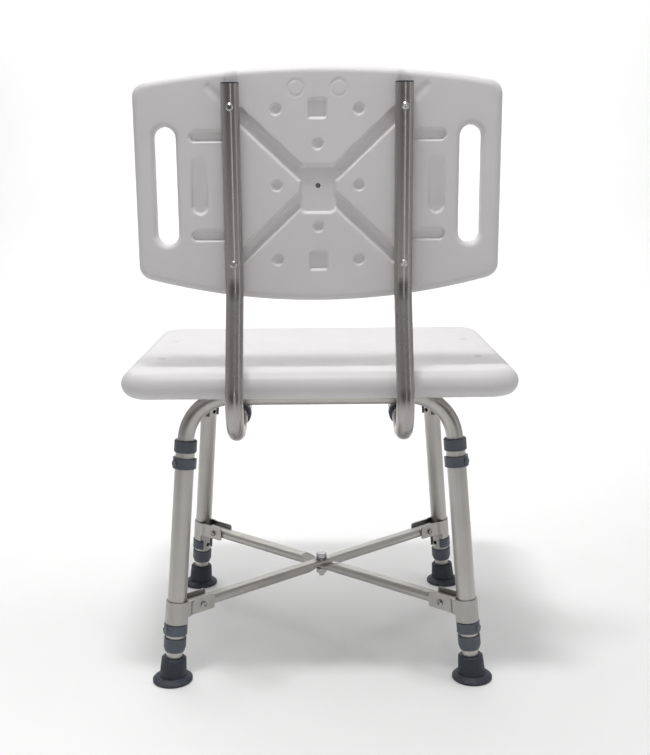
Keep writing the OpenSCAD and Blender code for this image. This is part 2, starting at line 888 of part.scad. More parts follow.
brace_clamp(-1, -1);  // brace_clamp_front_right
brace_tube(brace_angle, 1);  // brace_tube_upper
brace_tube(-brace_angle, -1);  // brace_tube_lower
brace_bolt();
brace_nut();
clamp_screws();
clamp_nuts();
snap_button(1);  // snap_button_left
snap_button(-1);  // snap_button_right
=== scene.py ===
import math

import bmesh
import bpy
import numpy as np
from mathutils import Matrix, Vector
from mathutils.geometry import delaunay_2d_cdt


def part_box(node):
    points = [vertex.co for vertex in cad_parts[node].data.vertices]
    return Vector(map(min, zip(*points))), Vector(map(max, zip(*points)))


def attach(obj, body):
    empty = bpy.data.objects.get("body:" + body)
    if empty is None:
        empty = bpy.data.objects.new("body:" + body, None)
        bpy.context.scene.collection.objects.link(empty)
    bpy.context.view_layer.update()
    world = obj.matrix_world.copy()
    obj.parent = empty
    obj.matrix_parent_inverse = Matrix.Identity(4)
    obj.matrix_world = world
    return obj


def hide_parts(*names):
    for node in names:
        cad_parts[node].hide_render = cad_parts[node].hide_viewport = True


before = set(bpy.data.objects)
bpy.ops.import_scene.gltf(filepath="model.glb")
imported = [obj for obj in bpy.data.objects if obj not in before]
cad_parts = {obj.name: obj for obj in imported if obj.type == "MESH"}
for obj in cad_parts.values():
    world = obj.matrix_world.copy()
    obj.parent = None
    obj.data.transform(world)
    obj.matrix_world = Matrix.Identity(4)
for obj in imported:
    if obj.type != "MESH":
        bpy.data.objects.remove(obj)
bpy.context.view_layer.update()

# ---- dimensions in metres and degrees, the CAD source's own unless a comment says otherwise ----

MM = 0.001
SEAT_CORNER_R = 39 * MM
BACK_WIDTH = 449 * MM
BACK_THICKNESS = 26 * MM
BACK_TOP = 797 * MM
BACK_BOTTOM = 512 * MM
BACK_MID = (BACK_TOP + BACK_BOTTOM) / 2
BACK_FACE_Y = 174 * MM
RECLINE = math.radians(1.5)
BACK_TOP_ARC = 1250 * MM
BACK_BOTTOM_ARC = 825 * MM
BACK_CORNER_R = 18.5 * MM
BACK_EDGE_R = 9 * MM
BACK_TUBE_X = 104.5 * MM
TUBE_R = 11.1 * MM
TUBE_BEHIND_FACE = 9 * MM
SLOT_X = 187 * MM
# The photograph's slots look wider than the CAD's 25.5 mm.
SLOT_WIDTH = 27.5 * MM
SLOT_LENGTH = 143 * MM
SLOT_EDGE_R = 6.5 * MM
CROSS_Y = 149.9 * MM
CROSS_Z = 385.6 * MM
DRAINS = [(213 * MM, -58 * MM), (213 * MM, 87 * MM)]
# The CAD's drain dimples are plain wells. Here they have soft walls, so they start wider and end shallower.
DRAIN_R = 6.2 * MM
DRAIN_DEPTH = 2.6 * MM
DRAIN_WALL = 2.4 * MM
BRACE_ANGLE = 40.32
LEG_SPLAY = 4.574
LEG_LEAN = 2.931


# ---- procedural materials ----


class Graph:
    """A small helper that builds one material's node graph."""

    def __init__(self, name):
        self.material = bpy.data.materials.new(name)
        self.material.use_nodes = True
        self.tree = self.material.node_tree
        self.shader = self.tree.nodes["Principled BSDF"]
        coordinates = self.tree.nodes.new("ShaderNodeTexCoord")
        self.place = coordinates.outputs["Object"]

    def link(self, source, target):
        self.tree.links.new(source, target)

    def node(self, kind, **settings):
        made = self.tree.nodes.new(kind)
        for key, value in settings.items():
            setattr(made, key, value)
        return made

    def mapped(self, scale, turn=(0, 0, 0)):
        """Coordinates turned by degrees, then scaled, so that a stretched texture follows a direction."""
        turned = self.node("ShaderNodeMapping")
        turned.inputs["Rotation"].default_value = [math.radians(a) for a in turn]
        self.link(self.place, turned.inputs["Vector"])
        scaled = self.node("ShaderNodeMapping")
        scaled.inputs["Scale"].default_value = scale
        self.link(turned.outputs["Vector"], scaled.inputs["Vector"])
        return scaled.outputs["Vector"]

    def noise(self, scale, detail=3.0, rough=0.5, vector=None):
        made = self.node("ShaderNodeTexNoise")
        made.inputs["Scale"].default_value = scale
        made.inputs["Detail"].default_value = detail
        made.inputs["Roughness"].default_value = rough
        self.link(self.place if vector is None else vector, made.inputs["Vector"])
        return made.outputs["Fac"]

    def cells(self, scale):
        """Distance to the nearest of a scatter of points."""
        made = self.node("ShaderNodeTexVoronoi")
        made.inputs["Scale"].default_value = scale
        self.link(self.place, made.inputs["Vector"])
        return made.outputs["Distance"]

    def remap(self, value, low, high, to_low, to_high):
        """The range from low to high stretched to the one from to_low to to_high, and held at its ends."""
        made = self.node("ShaderNodeMapRange", clamp=True)
        for key, number in (("From Min", low), ("From Max", high), ("To Min", to_low), ("To Max", to_high)):
            made.inputs[key].default_value = number
        self.link(value, made.inputs["Value"])
        return made.outputs["Result"]

    def math(self, operation, a, b):
        """An operation on a socket and either another socket or a number."""
        made = self.node("ShaderNodeMath", operation=operation)
        self.link(a, made.inputs[0])
        if isinstance(b, (int, float)):
            made.inputs[1].default_value = b
        else:
            self.link(b, made.inputs[1])
        return made.outputs[0]

    def mix(self, factor, a, b):
        """Colour a where the factor is 0 and b where it is 1. Either may be a socket or an RGB triple."""
        made = self.node("ShaderNodeMix", data_type="RGBA")
        self.link(factor, made.inputs[0])
        for k, value in ((6, a), (7, b)):
            if isinstance(value, (tuple, list)):
                made.inputs[k].default_value = (*value, 1)
            else:
                self.link(value, made.inputs[k])
        return made.outputs[2]

    def bump(self, height, distance, strength=1.0, under=None):
        made = self.node("ShaderNodeBump")
        made.inputs["Distance"].default_value = distance
        made.inputs["Strength"].default_value = strength
        self.link(height, made.inputs["Height"])
        if under is not None:
            self.link(under, made.inputs["Normal"])
        return made.outputs["Normal"]

    def height(self):
        """Height above the floor for a piece whose own origin is the frame's."""
        split = self.node("ShaderNodeSeparateXYZ")
        self.link(self.place, split.inputs[0])
        return split.outputs["Z"]

    def finish(self, colour, roughness, normal, metallic=0.0, ior=1.5):
        self.link(colour, self.shader.inputs["Base Color"])
        self.link(roughness, self.shader.inputs["Roughness"])
        self.link(normal, self.shader.inputs["Normal"])
        self.shader.inputs["Metallic"].default_value = metallic
        self.shader.inputs["IOR"].default_value = ior
        return self.material


def scaled(colour, k):
    """The colour made darker or lighter by a factor."""
    return tuple(c * k for c in colour)


def moulded_plastic(name, colour, roughness):
    """Blow-moulded plastic: soft uneven tone, a fine orange-peel grain, faint scuffs and rubbing marks."""
    g = Graph(name)
    clouds = g.remap(g.noise(5, 4, 0.55), 0.3, 0.7, 0, 1)
    tone = g.mix(clouds, scaled(colour, 0.965), scaled(colour, 1.03))
    specks = g.remap(g.cells(240), 0.02, 0.09, 1, 0)
    sparse = g.remap(g.noise(40, 2), 0.62, 0.7, 0, 0.22)
    tone = g.mix(g.math("MULTIPLY", specks, sparse), tone, scaled(colour, 0.55))
    rubbed = g.remap(g.noise(1, 5, 0.6, g.mapped((14, 60, 60), (0, 0, 24))), 0.6, 0.72, 0, 1)
    tone = g.mix(g.math("MULTIPLY", rubbed, 0.16), tone, scaled(colour, 0.88))
    fine = g.noise(700, 2, 0.6)
    rough = g.remap(g.noise(55, 4, 0.6), 0.3, 0.7, roughness - 0.05, roughness + 0.06)
    rough = g.math("ADD", rough, g.math("MULTIPLY", rubbed, -0.07))
    peel = g.bump(fine, 0.06 * MM)
    flow = g.bump(g.noise(14, 2, 0.4), 0.6 * MM, under=peel)
    return g.finish(tone, rough, flow, ior=1.49)


def drawn_metal(name, colour, roughness, turn=(0, 0, 0), streak=0.02 * MM, shade=0.9, wear=1.0):
    """Aluminium tube: lines drawn along Z after the turn, cloudy anodising and small handling marks.
    streak is the height of the lines, shade the darkest tone as a share of the colour, wear their strength."""
    g = Graph(name)
    along = g.mapped((900, 900, 7), turn)
    lines = g.noise(1, 3, 0.6, along)
    broad = g.noise(1, 3, 0.55, g.mapped((160, 160, 5), turn))
    clouds = g.remap(g.noise(22, 4, 0.6), 0.3, 0.7, 0, 1)
    tone = g.mix(clouds, scaled(colour, shade), colour)
    tone = g.mix(g.remap(lines, 0.35, 0.65, 0, 0.35 * wear), tone, scaled(colour, shade * 0.93))
    marks = g.remap(g.cells(130), 0.0, 0.05, 1, 0)
    marks = g.math("MULTIPLY", marks, g.remap(g.noise(30, 2), 0.55, 0.65, 0, 0.5))
    tone = g.mix(marks, tone, scaled(colour, 0.6))
    rough = g.remap(broad, 0.3, 0.7, roughness - 0.05 * wear, roughness + 0.07 * wear)
    rough = g.math("ADD", rough, g.math("MULTIPLY", g.remap(lines, 0.3, 0.7, -1, 1), 0.03 * wear))
    rough = g.math("ADD", rough, g.math("MULTIPLY", marks, 0.15))
    normal = g.bump(lines, streak)
    return g.finish(tone, rough, normal, metallic=1.0)


def dark_plastic(name, colour, roughness, grain):
    """Moulded nylon: fine spark-eroded grain and paler rubbed patches."""
    g = Graph(name)
    clouds = g.remap(g.noise(35, 4, 0.6), 0.3, 0.7, 0, 1)
    tone = g.mix(clouds, scaled(colour, 0.88), scaled(colour, 1.14))
    rubbed = g.remap(g.noise(90, 5, 0.65), 0.6, 0.75, 0, 0.4)
    tone = g.mix(rubbed, tone, scaled(colour, 1.5))
    rough = g.remap(g.noise(120, 3), 0.3, 0.7, roughness - 0.07, roughness + 0.07)
    normal = g.bump(g.noise(1600, 2, 0.6), grain)
    return g.finish(tone, rough, normal)


def moulded_rubber(name, colour):
    """Rubber tips: matt, a little dusty, scuffed paler towards the floor."""
    g = Graph(name)
    clouds = g.remap(g.noise(30, 5, 0.6), 0.3, 0.7, 0, 1)
    tone = g.mix(clouds, scaled(colour, 0.85), scaled(colour, 1.2))
    low = g.remap(g.height(), 0.0, 9 * MM, 1, 0)
    scuffs = g.math("MULTIPLY", low, g.remap(g.noise(160, 5, 0.7), 0.45, 0.62, 0, 0.55))
    tone = g.mix(scuffs, tone, DUST)
    rough = g.remap(g.noise(200, 3), 0.3, 0.7, 0.5, 0.68)
    grain = g.bump(g.noise(1100, 3, 0.6), 0.05 * MM)
    normal = g.bump(g.noise(70, 2), 0.2 * MM, under=grain)
    return g.finish(tone, rough, normal)


def plated_steel(name, colour, roughness):
    """Zinc-plated screws: bright, with tool marks and a slightly mottled plating."""
    g = Graph(name)
    clouds = g.remap(g.noise(260, 4, 0.6), 0.3, 0.7, 0, 1)
    tone = g.mix(clouds, scaled(colour, 0.8), colour)
    marks = g.noise(1500, 3, 0.6)
    rough = g.remap(marks, 0.3, 0.7, roughness - 0.06, roughness + 0.1)
    normal = g.bump(marks, 0.02 * MM)
    return g.finish(tone, rough, normal, metallic=1.0)


PALE = (0.635, 0.622, 0.625)
ALUMINIUM = (0.49, 0.477, 0.452)
# The back tubes' colour is darker than their bright metal. This is a painted dark reflection, standing in for
# a dark room mirrored in them.
BACK_TUBE_PAINTED_DARK = (0.4, 0.384, 0.376)
SLATE = (0.072, 0.083, 0.102)
RUBBER = (0.022, 0.027, 0.041)
DUST = (0.09, 0.09, 0.095)
STEEL = (0.45, 0.445, 0.44)

m_seat = moulded_plastic("pale_seat_plastic", PALE, 0.47)
m_back = moulded_plastic("pale_back_plastic", PALE, 0.5)
m_leg = {}
for side in (1, -1):
    for end in (1, -1):
        along_leg = (-LEG_LEAN * end, LEG_SPLAY * side, 0)
        m_leg[side, end] = drawn_metal(f"anodised_leg_{side}_{end}", ALUMINIUM, 0.34, along_leg)
m_cross = drawn_metal("anodised_leg_frame", ALUMINIUM, 0.34, streak=0.01 * MM)
m_run = drawn_metal("anodised_socket", ALUMINIUM, 0.33, (90, 0, 0))
m_bar_up = drawn_metal("anodised_brace_upper", ALUMINIUM, 0.36, (0, 90, 0))
m_bar_down = drawn_metal("anodised_brace_lower", ALUMINIUM, 0.36, (0, 90, 0))
# Bright metal back tubes, with a painted dark reflection carried by their darkened colour.
m_back_tube = drawn_metal("back_tube_painted_dark_reflection", BACK_TUBE_PAINTED_DARK, 0.28, streak=0.0004 * MM, shade=0.96, wear=0.2)
m_sheet = drawn_metal("anodised_clamp", scaled(ALUMINIUM, 0.9), 0.38, streak=0.01 * MM)
m_bush = dark_plastic("slate_bushing", SLATE, 0.45, 0.03 * MM)
m_clip = dark_plastic("slate_clip", scaled(SLATE, 1.08), 0.36, 0.02 * MM)
m_cap = dark_plastic("dark_cap", scaled(SLATE, 0.6), 0.45, 0.03 * MM)
m_tip = moulded_rubber("dark_rubber", RUBBER)
m_screw = plated_steel("plated_screw", STEEL, 0.18)
m_spring = plated_steel("spring_steel", STEEL, 0.3)
for material, heading in ((m_bar_up, -BRACE_ANGLE), (m_bar_down, BRACE_ANGLE)):
    # The fine lines also follow each brace tube's own heading across the bench.
    rotation = material.node_tree.nodes["Mapping"].inputs["Rotation"]
    rotation.default_value = (0, math.radians(90), math.radians(heading))


# ---- mesh building ----

WELD = 1e-6
SHARP_ANGLE = math.radians(50)
QUARTER = math.pi / 2
# A relief that changes by less than this from one grid point to the next counts as level.
LEVEL = 2e-6
# How many fine steps apart the grid points are on level ground.
COARSE = 5


def piece(name, verts, faces, material, body, stands_for):
    """A smooth mesh in the row frame that rides on a CAD body and stands for CAD nodes."""
    mesh = bpy.data.meshes.new(name)
    mesh.from_pydata([tuple(v) for v in verts], [], faces)
    work = bmesh.new()
    work.from_mesh(mesh)
    bmesh.ops.remove_doubles(work, verts=work.verts, dist=WELD)
    bmesh.ops.recalc_face_normals(work, faces=work.faces)
    work.to_mesh(mesh)
    work.free()
    mesh.polygons.foreach_set("use_smooth", [True] * len(mesh.polygons))
    mesh.set_sharp_from_angle(angle=SHARP_ANGLE)
    mesh.materials.append(material)
    made = bpy.data.objects.new(name, mesh)
    bpy.context.scene.collection.objects.link(made)
    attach(made, body)
    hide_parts(*stands_for)


def arc(centre, radius, start, stop, step):
    """Points and outward normals along an arc, angles in radians, without its last point."""
    count = max(2, int(abs(stop - start) * radius / step))
    angles = np.linspace(start, stop, count, endpoint=False)
    normals = np.stack([np.cos(angles), np.sin(angles)], 1)
    return np.array(centre) + radius * normals, normals


def line(a, b, normal, step):
    """Points along a straight edge, without its last point."""
    a, b = np.array(a, float), np.array(b, float)
    count = max(1, int(np.linalg.norm(b - a) / step))
    t = np.linspace(0, 1, count, endpoint=False)[:, None]
    return a + (b - a) * t, np.repeat(np.array([normal], float), count, 0)


def joined(parts):
    """One closed outline, as points and outward normals, from its edges in order."""
    return np.concatenate([p for p, _ in parts]), np.concatenate([n for _, n in parts])


def rounded_rectangle(half_u, half_v, r, step):
    """An outline with round corners, centred on the origin."""
    cu, cv = half_u - r, half_v - r
    return joined([
        line((half_u, -cv), (half_u, cv), (1, 0), step),
        arc((cu, cv), r, 0, QUARTER, step / 2),
        line((cu, half_v), (-cu, half_v), (0, 1), step),
        arc((-cu, cv), r, QUARTER, 2 * QUARTER, step / 2),
        line((-half_u, cv), (-half_u, -cv), (-1, 0), step),
        arc((-cu, -cv), r, 2 * QUARTER, 3 * QUARTER, step / 2),
        line((-cu, -half_v), (cu, -half_v), (0, -1), step),
        arc((cu, -cv), r, 3 * QUARTER, 4 * QUARTER, step / 2),
    ])


def arched_outline(step):
    """The backrest's outline: straight sides, arched top and bottom, round corners. Origin at mid height."""
    rise = (BACK_TOP - BACK_BOTTOM) / 2
    cu = BACK_WIDTH / 2 - BACK_CORNER_R
    top_centre = (0, rise - BACK_TOP_ARC)
    low_centre = (0, BACK_BOTTOM_ARC - rise)
    top_v = top_centre[1] + math.sqrt((BACK_TOP_ARC - BACK_CORNER_R) ** 2 - cu**2)
    low_v = low_centre[1] - math.sqrt((BACK_BOTTOM_ARC - BACK_CORNER_R) ** 2 - cu**2)
    top_a = math.asin(cu / (BACK_TOP_ARC - BACK_CORNER_R))
    low_a = math.asin(cu / (BACK_BOTTOM_ARC - BACK_CORNER_R))
    return joined([
        line((BACK_WIDTH / 2, low_v), (BACK_WIDTH / 2, top_v), (1, 0), step),
        arc((cu, top_v), BACK_CORNER_R, 0, QUARTER - top_a, step / 2),
        arc(top_centre, BACK_TOP_ARC, QUARTER - top_a, QUARTER + top_a, step),
        arc((-cu, top_v), BACK_CORNER_R, QUARTER + top_a, math.pi, step / 2),
        line((-BACK_WIDTH / 2, top_v), (-BACK_WIDTH / 2, low_v), (-1, 0), step),
        arc((-cu, low_v), BACK_CORNER_R, math.pi, 3 * QUARTER - low_a, step / 2),
        arc(low_centre, BACK_BOTTOM_ARC, 3 * QUARTER - low_a, 3 * QUARTER + low_a, step),
        arc((cu, low_v), BACK_CORNER_R, 3 * QUARTER + low_a, 4 * QUARTER, step / 2),
    ])


def slot_outline(centre_u, step):
    """A hand-hold slot's outline. Its normals point into the plastic, away from the slot."""
    r, reach = SLOT_WIDTH / 2, (SLOT_LENGTH - SLOT_WIDTH) / 2
    return joined([
        line((centre_u + r, -reach), (centre_u + r, reach), (1, 0), step),
        arc((centre_u, reach), r, 0, math.pi, step / 2),
        line((centre_u - r, reach), (centre_u - r, -reach), (-1, 0), step),
        arc((centre_u, -reach), r, math.pi, 2 * math.pi, step / 2),
    ])


def capsule(u, v, a, b):
    """Distance from points to the segment from a to b."""
    a, b = np.array(a, float), np.array(b, float)
    d = b - a
    t = np.clip(((u - a[0]) * d[0] + (v - a[1]) * d[1]) / max(d @ d, 1e-12), 0, 1)
    return np.hypot(u - a[0] - t * d[0], v - a[1] - t * d[1])


def block(u, v, centre, half_u, half_v, r):
    """Signed distance to a rounded rectangle, negative inside."""
    du = np.abs(u - centre[0]) - half_u + r
    dv = np.abs(v - centre[1]) - half_v + r
    return np.hypot(np.maximum(du, 0), np.maximum(dv, 0)) + np.minimum(np.maximum(du, dv), 0) - r


def deeper(v, centre, half):
    """A floor that slopes from about half depth at a recess's top edge to full depth at its bottom edge."""
    return 0.45 + 0.55 * np.clip((centre + half - v) / (2 * half), 0, 1)


def ramp(distance, wall):
    """1 inside a recess, falling smoothly to 0 across its sloped wall, where distance reaches 0."""
    t = np.clip(-distance / wall, 0, 1)
    return t * t * (3 - 2 * t)


def edge_rows(low, high, radius, sign, steps):
    """A rounded edge from the low face to the high one, as rows of (inset, w, face, share of the relief)."""
    down, up = [], []
    for a in np.linspace(0, QUARTER, steps + 1):
        inset, drop, share = sign * radius * (1 - math.cos(a)), radius * (1 - math.sin(a)), math.sin(a)
        down.append((inset, low + drop, -1, share))
        up.append((inset, high - drop, 1, share))
    if high - low - 2 * radius < WELD:
        up = up[1:]
    return down[::-1] + up


def neighbours(grid):
    """The grid shifted by one step in each of the four directions."""
    return [np.roll(grid, shift, axis) for axis in (0, 1) for shift in (-1, 1)]


def relief_points(rim, relief, fine):
    """Grid points inside a convex rim, spaced by fine around the relief's slopes and coarser elsewhere."""
    step = np.roll(rim, -1, 0) - rim
    inward = np.stack([-step[:, 1], step[:, 0]], 1) / np.linalg.norm(step, axis=1)[:, None]
    us = np.arange(rim[:, 0].min(), rim[:, 0].max(), fine)
    vs = np.arange(rim[:, 1].min(), rim[:, 1].max(), fine)
    u, v = np.meshgrid(us, vs, indexing="ij")
    depth = relief(u, v)
    sloped = np.logical_or.reduce([np.abs(other - depth) > LEVEL for other in neighbours(depth)])
    near_slope = np.logical_or.reduce([sloped, *neighbours(sloped)])
    i, j = np.indices(depth.shape)
    keep = near_slope | ((i % COARSE == 0) & (j % COARSE == 0))
    points = np.stack([u[keep], v[keep]], 1)
    inside = np.ones(len(points), bool)
    for corner, way in zip(rim, inward):
        inside &= (points - corner) @ way > 0.5 * fine
    return points[inside]


def far_from_holes(u, v):
    """The distance to holes for a slab without any."""
    return np.ones_like(u)


def panel(low, high, edge, outline, relief_low, relief_high, fine,
          holes=(), hole_edge=0.0, hole_distance=far_from_holes, rings=()):
    """A rounded slab between two w levels with relief on both faces. Gives (u, v, w) vertices and faces.
    outline and holes are (points, normals). The relief functions give the depth cut into their face.
    rings are radii round the middle of the high face that get points of their own."""
    verts, faces = [], []

    def add_rows(outline, rows):
        """Strips round an outline. Gives the vertex loops at the low and at the high face."""
        points, normals = outline
        starts = []
        for inset, w, face, share in rows:
            uv = points + normals * inset
            depth = (relief_high if face > 0 else relief_low)(uv[:, 0], uv[:, 1]) * share
            starts.append(len(verts))
            verts.extend(zip(uv[:, 0], uv[:, 1], w - face * depth))
        n = len(points)
        for s, t in zip(starts, starts[1:]):
            faces.extend((s + k, s + (k + 1) % n, t + (k + 1) % n, t + k) for k in range(n))
        return range(starts[0], starts[0] + n), range(starts[-1], starts[-1] + n)

    loops = [add_rows(outline, edge_rows(low, high, edge, -1, 10))]
    loops += [add_rows(hole, edge_rows(low, high, hole_edge, 1, 6)) for hole in holes]
    loops_low, loops_high = zip(*loops)
    rim = np.array([verts[k][:2] for k in loops_high[0]])

    for face, loops, relief, w in ((-1, loops_low, relief_low, low), (1, loops_high, relief_high, high)):
        points = relief_points(rim, relief, fine)
        for radius in rings if face > 0 else ():
            turn = np.linspace(0, 2 * math.pi, 24, endpoint=False)
            points = np.concatenate([points, radius * np.stack([np.cos(turn), np.sin(turn)], 1)])
        points = points[hole_distance(points[:, 0], points[:, 1]) > hole_edge + 0.5 * fine]
        ids = [k for loop in loops for k in loop] + list(range(len(verts), len(verts) + len(points)))
        verts.extend(zip(points[:, 0], points[:, 1], w - face * relief(points[:, 0], points[:, 1])))
        flat = [Vector(verts[k][:2]) for k in ids]
        edges, at = [], 0
        for loop in loops:
            n = len(loop)
            edges.extend((at + k, at + (k + 1) % n) for k in range(n))
            at += n
        out_v, _, out_f, from_v, _, _ = delaunay_2d_cdt(flat, edges, [], 0, 1e-9)
        back = [ids[source[0]] for source in from_v]
        centres = np.array([np.mean([out_v[k][:] for k in f], 0) for f in out_f])
        solid = hole_distance(centres[:, 0], centres[:, 1]) > hole_edge + 0.1 * MM
        faces.extend(tuple(back[k] for k in f) for f, ok in zip(out_f, solid) if ok)
    return np.array(verts), faces


# ---- seat ----

seat_low, seat_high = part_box("seat")
seat_half_u = (seat_high.x - seat_low.x) / 2
seat_half_v = (seat_high.y - seat_low.y) / 2
DISH_SHARE = 0.8
DISH_DEPTH = 1.2 * MM
CHANNEL_GAP = 0.4 * MM
CHANNEL_END = 150 * MM
CHANNEL_RUN_OUT = 4 * MM


def seat_top(u, v):
    """Drain dimples, and a very slight dish so that the top isn't dead flat."""
    depth = np.zeros_like(u)
    for drain_u, drain_v in DRAINS:
        for side in (-1, 1):
            distance = np.hypot(u - side * drain_u, v - drain_v) - DRAIN_R
            depth = np.maximum(depth, DRAIN_DEPTH * ramp(distance, DRAIN_WALL))
    dish_u = np.clip(1 - (u / (seat_half_u * DISH_SHARE)) ** 2, 0, 1)
    dish_v = np.clip(1 - (v / (seat_half_v * DISH_SHARE)) ** 2, 0, 1)
    return depth + DISH_DEPTH * (dish_u * dish_v)


def seat_under(u, v):
    """Channels over the two cross tubes."""
    reach = TUBE_R + CHANNEL_GAP
    depth = np.zeros_like(u)
    for end in (-1, 1):
        off = np.abs(v - end * CROSS_Y)
        arch = np.sqrt(np.clip(reach**2 - off**2, 0, None)) + CROSS_Z - seat_low.z
        ends = np.clip((CHANNEL_END - np.abs(u)) / CHANNEL_RUN_OUT, 0, 1)
        depth = np.maximum(depth, np.where(off < reach, np.clip(arch, 0, None), 0) * ends)
    return depth


seat_verts, seat_faces = panel(
    seat_low.z,
    seat_high.z,
    (seat_high.z - seat_low.z) / 2,
    rounded_rectangle(seat_half_u, seat_half_v, SEAT_CORNER_R, 6 * MM),
    seat_under,
    seat_top,
    fine=2.2 * MM,
)
piece("seat_moulding", seat_verts, seat_faces, m_seat, "frame", ["seat"])


# ---- backrest ----


def mm(*lengths):
    """Lengths given in millimetres."""
    return tuple(length * MM for length in lengths)


# Places on the rear face are (u, v) from its middle, where u is positive. The other side mirrors them.
CROSS_SHIFT = 1 * MM
ARM = (mm(20, 15), mm(96, 86))
ARM_FLOOR = (mm(27, 22), mm(84, 75))
ARM_TAIL = (mm(112, 99), mm(131, 117))
DIMPLES = [mm(50.5, -91), mm(50.5, 0), mm(50.5, 91), mm(0, -50), mm(0, 50)]
SQUARES_V = mm(-92, 92)
SQUARE_HALF = 12 * MM
RING_MARK = mm(26, 116)
GROOVES_V = mm(-60, 60)
GROOVE_R = 7.4 * MM
OBLONG = (mm(145.5, -24), mm(145.5, 26))
PIN_R = 3.1 * MM
PIN_DEPTH = 9 * MM


def slot_distance(u, v):
    """Distance to the nearer hand-hold slot's rim, negative inside the slot."""
    reach = (SLOT_LENGTH - SLOT_WIDTH) / 2
    left = capsule(u, v, (SLOT_X, -reach), (SLOT_X, reach))
    right = capsule(u, v, (-SLOT_X, -reach), (-SLOT_X, reach))
    return np.minimum(left, right) - SLOT_WIDTH / 2


def back_rear(u, v):
    """Everything pressed into the rear face."""
    side = np.abs(u)
    depth = np.zeros_like(u)

    def cut(amount, distance, wall):
        nonlocal depth
        depth = np.maximum(depth, amount * ramp(distance, wall))

    # The cross: four arms and the block where they meet, a deeper line along each arm, a faint tail beyond.
    arms = capsule(side, np.abs(v + CROSS_SHIFT), *ARM) - 9.5 * MM
    hub = block(u, v, mm(0, -4), 23 * MM, 30 * MM, 8 * MM)
    cut(5.2 * MM, np.minimum(arms, hub), 3.4 * MM)
    floor = capsule(side, np.abs(v + CROSS_SHIFT), *ARM_FLOOR) - 4.2 * MM
    depth = depth + 1.2 * MM * ramp(floor, 2.2 * MM)
    cut(1.1 * MM, capsule(side, v, *ARM_TAIL) - 8 * MM, 8 * MM)

    for dimple_u, dimple_v in DIMPLES:
        cut(2.8 * MM, np.hypot(side - dimple_u, v - dimple_v) - 7.4 * MM, 2.6 * MM)
    for middle in SQUARES_V:
        square = block(u, v, (0, middle), 11.8 * MM, SQUARE_HALF, 3 * MM)
        cut(4.6 * MM * deeper(v, middle, SQUARE_HALF), square, 2.2 * MM)
    ring = np.abs(np.hypot(side - RING_MARK[0], v - RING_MARK[1]) - 9.5 * MM)
    cut(0.7 * MM, ring - 1.8 * MM, 1.8 * MM)

    for middle in GROOVES_V:
        groove = capsule(side, v, (104 * MM, middle), (149.5 * MM, middle)) - GROOVE_R
        cut(4.8 * MM * deeper(v, middle, GROOVE_R), groove, 2.2 * MM)
    fade = np.clip((36 * MM - v) / (62 * MM), 0.06, 1)
    cut(5.4 * MM * fade, capsule(side, v, *OBLONG) - 11 * MM, 2.6 * MM)

    # The channels that the back tubes lie in, and the moulding's pin hole in the middle of the cross.
    channel_r = TUBE_R + 0.5 * MM
    off = np.abs(side - BACK_TUBE_X)
    channel = np.sqrt(np.clip(channel_r**2 - off**2, 0, None)) - TUBE_BEHIND_FACE
    depth = np.maximum(depth, np.where(off < channel_r, np.clip(channel, 0, None), 0))
    return depth + PIN_DEPTH * ramp(np.hypot(u, v) - PIN_R, 0.5 * MM)


def plain(u, v):
    """No relief."""
    return np.zeros_like(u)


uvw, back_faces = panel(
    -BACK_THICKNESS,
    0.0,
    BACK_EDGE_R,
    arched_outline(2.2 * MM),
    plain,
    back_rear,
    fine=1.6 * MM,
    holes=[slot_outline(SLOT_X, 3 * MM), slot_outline(-SLOT_X, 3 * MM)],
    hole_edge=SLOT_EDGE_R,
    hole_distance=slot_distance,
    rings=mm(3.8, 3.15, 2.85, 2.55),
)
c, s = math.cos(RECLINE), math.sin(RECLINE)
back_verts = np.stack(
    [uvw[:, 0], BACK_FACE_Y + uvw[:, 2] * c + uvw[:, 1] * s, BACK_MID + uvw[:, 1] * c - uvw[:, 2] * s], 1
)
piece("backrest_moulding", back_verts, back_faces, m_back, "back", ["backrest"])


# ---- the CAD pieces that are shown as they are ----

node_material = {
    "back_tube_left": m_back_tube,
    "back_tube_right": m_back_tube,
    "back_tube_caps": m_cap,
    "backrest_screws": m_screw,
    "socket_tube_left": m_run,
    "socket_tube_right": m_run,
    "socket_bushing_left": m_bush,
    "socket_bushing_right": m_bush,
    "socket_end_plugs": m_bush,
    "leg_frame_rear": m_cross,
    "leg_frame_front": m_cross,
    "brace_tube_upper": m_bar_up,
    "brace_tube_lower": m_bar_down,
    "brace_bolt": m_screw,
    "brace_nut": m_screw,
    "clamp_screws": m_screw,
    "clamp_nuts": m_screw,
    "snap_button_left": m_spring,
    "snap_button_right": m_spring,
}
for end_name, end in (("rear", 1), ("front", -1)):
    for side_name, side in (("left", 1), ("right", -1)):
        corner = f"{end_name}_{side_name}"
        node_material["leg_tube_" + corner] = m_leg[side, end]
        node_material["leg_extension_" + corner] = m_leg[side, end]
        node_material["upper_bushing_" + corner] = m_bush
        node_material["lower_bushing_" + corner] = m_bush
        node_material["upper_clip_" + corner] = m_clip
        node_material["lower_clip_" + corner] = m_clip
        node_material["foot_tip_" + corner] = m_tip
        node_material["brace_clamp_" + corner] = m_sheet
for name, material in node_material.items():
    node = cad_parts[name]
    node.data.materials.clear()
    node.data.materials.append(material)


# ---- floor, light and camera ----


def floor_material():
    """Pale matt paper, barely clouded."""
    g = Graph("pale_floor")
    clouds = g.remap(g.noise(1.3, 4, 0.5), 0.3, 0.7, 0, 1)
    tone = g.mix(clouds, (0.86, 0.86, 0.86), (0.9, 0.9, 0.9))
    rough = g.remap(g.noise(9, 3), 0.3, 0.7, 0.6, 0.75)
    return g.finish(tone, rough, g.bump(g.noise(120, 3), 0.2 * MM, 0.4))


FLOOR_NEAR = 9.0
BEND_START = -2.6
BEND_R = 1.2
WALL_TOP = 7.0
BACKDROP_HALF = 13.0


